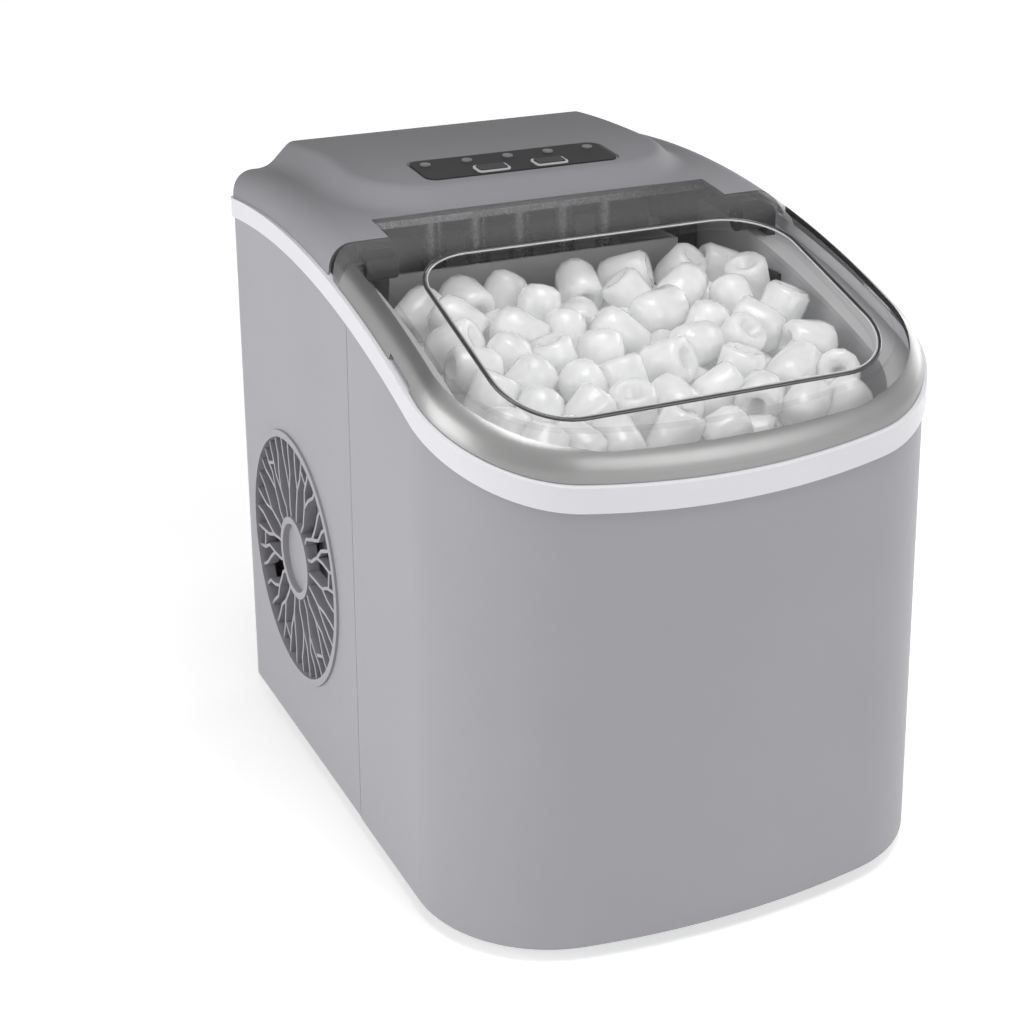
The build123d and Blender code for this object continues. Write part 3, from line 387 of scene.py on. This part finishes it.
# finished ice, heaped in the basket
iceLook = {
    "count": 326,
    "radius": 0.0107,
    "length": 0.0262,
    "bore": 0.0045,
    "boreDepth": 0.018,
    "segments": 12,
    "half": 0.0870,      # room in the basket
    "front": -0.134,
    "lip": 0.2135,       # above the basket's rim the heap spreads
    "halfOver": 0.0940,
    "frontOver": -0.1442,
    "rear": 0.007,
    "floor": 0.122,
    "headroom": 0.0124,  # left free under the shut lid
    "feelFrom": 0.19,    # the lid's underside is felt from here upwards
    "noLid": 0.24,       # roof where there is no lid above
    "cells": 40,
    "arm": 0.82,         # share of the radius that the round ends take up
    "shove": 0.22,
    "rounds": 260,
    "seed": 11,
    "leanLow": (0.2, -0.5, 0),
    "leanHigh": (2.9, 0.5, 6.28),
    "girthLow": (0.95, 0.95, 0.88),
    "girthHigh": 1.04,
}


def iceFinish():
    finish, tree, shader, place = startFinish("cloudyIce")
    cloud = noiseOf(tree, place, 150, 5)
    milky = twoTone(tree, cloud, (0.95, 0.952, 0.96), (0.99, 0.99, 0.99))
    tree.links.new(milky, shader.inputs["Base Color"])
    tree.links.new(spread(tree, noiseOf(tree, place, 70, 2), 0.70, 0.90), shader.inputs["Alpha"])
    wet = noiseOf(tree, place, 420, 2)
    tree.links.new(spread(tree, wet, 0.10, 0.24), shader.inputs["Roughness"])
    roughen(tree, shader, noiseOf(tree, place, 260, 3), 0.0002, 0.4)
    shader.inputs["IOR"].default_value = 1.31
    shader.inputs["Subsurface Weight"].default_value = 0.8
    shader.inputs["Subsurface Radius"].default_value = (0.95, 0.97, 1.0)
    shader.inputs["Subsurface Scale"].default_value = 0.010
    # a faint glow for the light that scatters through a heap
    shader.inputs["Emission Color"].default_value = (0.98, 0.985, 1, 1)
    shader.inputs["Emission Strength"].default_value = 0.055
    shader.inputs["Coat Weight"].default_value = 0.6
    shader.inputs["Coat Roughness"].default_value = 0.04
    return finish


def thimble(look):
    # round-nosed piece with the finger's bore up its middle
    radius, half, bore = look["radius"], look["length"] / 2, look["bore"]
    deep = look["boreDepth"] - half
    line = [(0, half), (radius * 0.52, half * 0.945), (radius * 0.87, half * 0.75), (radius, half * 0.36),
            (radius * 0.985, -half * 0.82), (radius * 0.8, -half), (bore * 1.06, -half * 0.97), (0, deep)]
    shape = bmesh.new()
    rings = []
    for r, z in line:
        if r == 0:
            rings.append([shape.verts.new((0, 0, z))])
            continue
        angles = [2 * math.pi * i / look["segments"] for i in range(look["segments"])]
        rings.append([shape.verts.new((r * math.cos(a), r * math.sin(a), z)) for a in angles])
    for upper, lower in zip(rings, rings[1:]):
        for i in range(look["segments"]):
            j = (i + 1) % look["segments"]
            if len(upper) == 1:
                shape.faces.new((upper[0], lower[i], lower[j]))
            elif len(lower) == 1:
                shape.faces.new((upper[i], lower[0], upper[j]))
            else:
                shape.faces.new((upper[i], lower[i], lower[j], upper[j]))
    bmesh.ops.recalc_face_normals(shape, faces=shape.faces)
    mesh = bpy.data.meshes.new("thimble")
    shape.to_mesh(mesh)
    shape.free()
    return mesh


def lidUnderside(x, y, lidTree, look):
    hit = lidTree.ray_cast(Vector((x, y, look["feelFrom"])), Vector((0, 0, 1)))[0]
    return hit.z if hit else look["noLid"]


def heapRoof(look):
    # highest place for the middle of a round piece, on a grid under the lid
    cells, radius = look["cells"], look["radius"]
    lidTree = treeOf("lid_rim", "lid_window", "hinge_barrels", "hinge_pins")
    gridX = np.linspace(-look["halfOver"], look["halfOver"], cells)
    gridY = np.linspace(look["frontOver"], look["rear"], cells)
    under = np.array([[lidUnderside(x, y, lidTree, look) for y in gridY] for x in gridX]) - look["headroom"]
    stepX, stepY = gridX[1] - gridX[0], gridY[1] - gridY[0]
    edged = np.pad(under, 2, mode="edge")
    rooms = []
    for i in range(5):
        for j in range(5):
            aside = math.hypot((i - 2) * stepX, (j - 2) * stepY)
            if aside < radius:
                rooms.append(edged[i:i + cells, j:j + cells] - math.sqrt(radius ** 2 - aside ** 2))
    roof = np.min(rooms, axis=0)

    def roofAt(spots):
        i = np.clip(np.round((spots[:, 0] - gridX[0]) / stepX).astype(int), 0, cells - 1)
        j = np.clip(np.round((spots[:, 1] - gridY[0]) / stepY).astype(int), 0, cells - 1)
        return roof[i, j]

    return roofAt


def heapPlaces(look):
    # pieces push each other apart until they fill the room under the lid
    pick = np.random.default_rng(look["seed"])
    roofAt = heapRoof(look)
    count, radius = look["count"], look["radius"]
    arm = look["length"] / 2 - radius * look["arm"]
    spots = np.column_stack((
        pick.uniform(-look["half"] + radius, look["half"] - radius, count),
        pick.uniform(look["front"] + radius, look["rear"] - radius, count),
        pick.uniform(0, 1, count),
    ))
    top = roofAt(spots)
    spots[:, 2] = look["floor"] + radius + spots[:, 2] * (top - look["floor"] - radius)
    turns = pick.uniform(look["leanLow"], look["leanHigh"], (count, 3))
    axes = np.array([Euler(t).to_matrix() @ Vector((0, 0, 1)) for t in turns])
    owner = np.concatenate((np.arange(count), np.arange(count)))
    reach = radius + np.abs(axes) * arm
    for _ in range(look["rounds"]):
        ends = np.concatenate((spots + axes * arm, spots - axes * arm))
        gap = ends[:, None, :] - ends[None, :, :]
        far = np.linalg.norm(gap, axis=2)
        near = (far < 2 * radius) & (owner[:, None] != owner[None, :])
        push = np.where(near, (2 * radius - far) / np.maximum(far, 1e-6), 0)[:, :, None] * gap
        shove = push.sum(axis=1) * look["shove"]
        spots = spots + shove[:count] + shove[count:]
        over = spots[:, 2] - reach[:, 2] > look["lip"]
        half = np.where(over, look["halfOver"], look["half"])
        front = np.where(over, look["frontOver"], look["front"])
        spots[:, 0] = np.clip(spots[:, 0], -half + reach[:, 0], half - reach[:, 0])
        spots[:, 1] = np.clip(spots[:, 1], front + reach[:, 1], look["rear"] - reach[:, 1])
        spots[:, 2] = np.clip(spots[:, 2], look["floor"] + reach[:, 2], roofAt(spots) + radius - reach[:, 2])
    sizes = pick.uniform(look["girthLow"], look["girthHigh"], (count, 3))
    return spots, turns, sizes


def iceHeap(look):
    spots, turns, sizes = heapPlaces(look)
    points = bpy.data.meshes.new("heapPlaces")
    points.from_pydata([tuple(p) for p in spots], [], [])
    lean = points.attributes.new("lean", "FLOAT_VECTOR", "POINT")
    lean.data.foreach_set("vector", turns.astype(np.float32).ravel())
    girth = points.attributes.new("girth", "FLOAT_VECTOR", "POINT")
    girth.data.foreach_set("vector", sizes.astype(np.float32).ravel())
    shape = bpy.data.objects.new("thimble", thimble(look))
    tree, given, out = startTree("heapOfIce", (("Piece", "NodeSocketObject"), ("Size", "NodeSocketFloat"),
                                               ("Finish", "NodeSocketMaterial")))
    toPoints = tree.nodes.new("GeometryNodeMeshToPoints")
    info = tree.nodes.new("GeometryNodeObjectInfo")
    lay = tree.nodes.new("GeometryNodeInstanceOnPoints")
    leanIn = tree.nodes.new("GeometryNodeInputNamedAttribute")
    leanIn.data_type = "FLOAT_VECTOR"
    leanIn.inputs["Name"].default_value = "lean"
    girthIn = tree.nodes.new("GeometryNodeInputNamedAttribute")
    girthIn.data_type = "FLOAT_VECTOR"
    girthIn.inputs["Name"].default_value = "girth"
    scale = tree.nodes.new("ShaderNodeVectorMath")
    scale.operation = "SCALE"
    tree.links.new(given.outputs["Geometry"], toPoints.inputs["Mesh"])
    tree.links.new(given.outputs["Piece"], info.inputs["Object"])
    tree.links.new(toPoints.outputs["Points"], lay.inputs["Points"])
    tree.links.new(info.outputs["Geometry"], lay.inputs["Instance"])
    tree.links.new(leanIn.outputs["Attribute"], lay.inputs["Rotation"])
    tree.links.new(girthIn.outputs["Attribute"], scale.inputs[0])
    tree.links.new(given.outputs["Size"], scale.inputs["Scale"])
    tree.links.new(scale.outputs["Vector"], lay.inputs["Scale"])
    endTree(tree, lay.outputs["Instances"], given, out)
    heap = growMesh("ice_heap", points, tree, {"Piece": shape, "Size": 1.0, "Finish": iceFinish()})
    bpy.data.objects.remove(shape)
    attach(heap, "basket")
    return heap


heap = iceHeap(iceLook)
print("ice heaped,", len(heap.data.polygons), "faces")


# studio: white floor, soft lamps, and a flag that shades the back of the top
studioLook = {
    "floorTone": 0.82,
    "floorDrift": 0.02,
    "floorGlowAndPaintedShade": (0.40, 0.55),   # a glow that sheds no light, near the machine and away from it; lower near the machine, it paints a soft shadow round the foot
    "paintedShadeReach": (0.14, 0.36),
    "floorHalf": 6,
    "floorSink": 0.0004,
    "sky": 0.42,
}
seenBy = ("Is Camera Ray", "Is Glossy Ray", "Is Transmission Ray")
shades = {
    "topFlag": {"low": (-0.42, 0.0), "high": (0.42, 0.6), "height": 0.52, "grey": 0.10},
    "overheadCard": {"low": (0.3, -1.3), "high": (2.0, 1.3), "height": 1.75, "grey": 0.5},
}
lamps = {
    "leftLamp": {"place": (-1.6, 0.1, 0.6), "aim": (0, 0, 0.17), "size": 1.1, "power": 13.5},
    "frontLamp": {"place": (0.7, -1.9, 0.75), "aim": (0, 0, 0.17), "size": 1.2, "power": 10.5},
    "topLamp": {"place": (0, -0.35, 1.5), "aim": (0, -0.1, 0.25), "size": 0.7, "power": 9.0},
    "rightLamp": {"place": (1.5, 0.45, 0.5), "aim": (0, 0, 0.25), "size": 0.8, "power": 6.0},
}


def anyOf(tree, *outputs):
    path = tree.nodes.new("ShaderNodeLightPath")
    value = path.outputs[outputs[0]]
    for name in outputs[1:]:
        value = mathOf(tree, "MAXIMUM", value, path.outputs[name])
    return value


def card(name, corners):
    mesh = bpy.data.meshes.new(name)
    mesh.from_pydata(corners, [], [(0, 1, 2, 3)])
    piece = bpy.data.objects.new(name, mesh)
    bpy.context.scene.collection.objects.link(piece)
    return piece


def shade(name, look):
    # a cloth held over the machine, out of the picture
    (lowX, lowY), (highX, highY), grey = look["low"], look["high"], look["grey"]
    corners = [(lowX, lowY), (highX, lowY), (highX, highY), (lowX, highY)]
    piece = card(name, [(x, y, look["height"]) for x, y in corners])
    finish, tree, shader, place = startFinish(name + "Cloth")
    weave = twoTone(tree, noiseOf(tree, place, 30), (grey, grey, grey), (grey * 1.2, grey * 1.2, grey * 1.2))
    tree.links.new(weave, shader.inputs["Base Color"])
    shader.inputs["Roughness"].default_value = 0.9
    piece.data.materials.append(finish)
    piece.visible_camera = False


def softLamp(name, look):
    lamp = bpy.data.lights.new(name, "AREA")
    lamp.shape = "SQUARE"
    lamp.size = look["size"]
    lamp.energy = look["power"]
    piece = bpy.data.objects.new(name, lamp)
    piece.location = look["place"]
    way = Vector(look["aim"]) - Vector(look["place"])
    piece.rotation_euler = way.to_track_quat("-Z", "Y").to_euler()
    bpy.context.scene.collection.objects.link(piece)


def whiteRoom(sky):
    world = bpy.data.worlds.new("studio")
    bpy.context.scene.world = world
    world.use_nodes = True
    tree = world.node_tree
    soft = tree.nodes["Background"]
    soft.inputs["Color"].default_value = (1, 1, 1, 1)
    soft.inputs["Strength"].default_value = sky
    white = tree.nodes.new("ShaderNodeBackground")
    white.inputs["Color"].default_value = (1, 1, 1, 1)
    mix = tree.nodes.new("ShaderNodeMixShader")
    tree.links.new(anyOf(tree, *seenBy), mix.inputs[0])
    tree.links.new(soft.outputs[0], mix.inputs[1])
    tree.links.new(white.outputs[0], mix.inputs[2])
    tree.links.new(mix.outputs[0], tree.nodes["World Output"].inputs["Surface"])


def paleFloor(look):
    half, low = look["floorHalf"], -look["floorSink"]
    floor = card("floor", [(-half, -half, low), (half, -half, low), (half, half, low), (-half, half, low)])
    finish, tree, shader, place = startFinish("paleFloor")
    tone = look["floorTone"]
    light = tone + look["floorDrift"]
    patch = twoTone(tree, noiseOf(tree, place, 3), (tone, tone, tone), (light, light, light))
    tree.links.new(patch, shader.inputs["Base Color"])
    shader.inputs["Roughness"].default_value = 0.6
    shader.inputs["Emission Color"].default_value = (1, 1, 1, 1)
    away = tree.nodes.new("ShaderNodeVectorMath")
    away.operation = "LENGTH"
    tree.links.new(place, away.inputs[0])
    # painted shadow: the glow seen by the camera rises from the near value to the far one across the reach,
    # evening the floor where the lamps fall off and painting a soft shade round the machine
    glowFallingNearMachine = ramped(tree, away.outputs["Value"], look["paintedShadeReach"], look["floorGlowAndPaintedShade"], "SMOOTHSTEP")
    lift = mathOf(tree, "MULTIPLY", anyOf(tree, *seenBy), glowFallingNearMachine)
    tree.links.new(lift, shader.inputs["Emission Strength"])
    floor.data.materials.append(finish)


whiteRoom(studioLook["sky"])
paleFloor(studioLook)
for name, look in shades.items():
    shade(name, look)
for name, look in lamps.items():
    softLamp(name, look)
bpy.context.scene.view_settings.view_transform = "Standard"
print("studio ready")
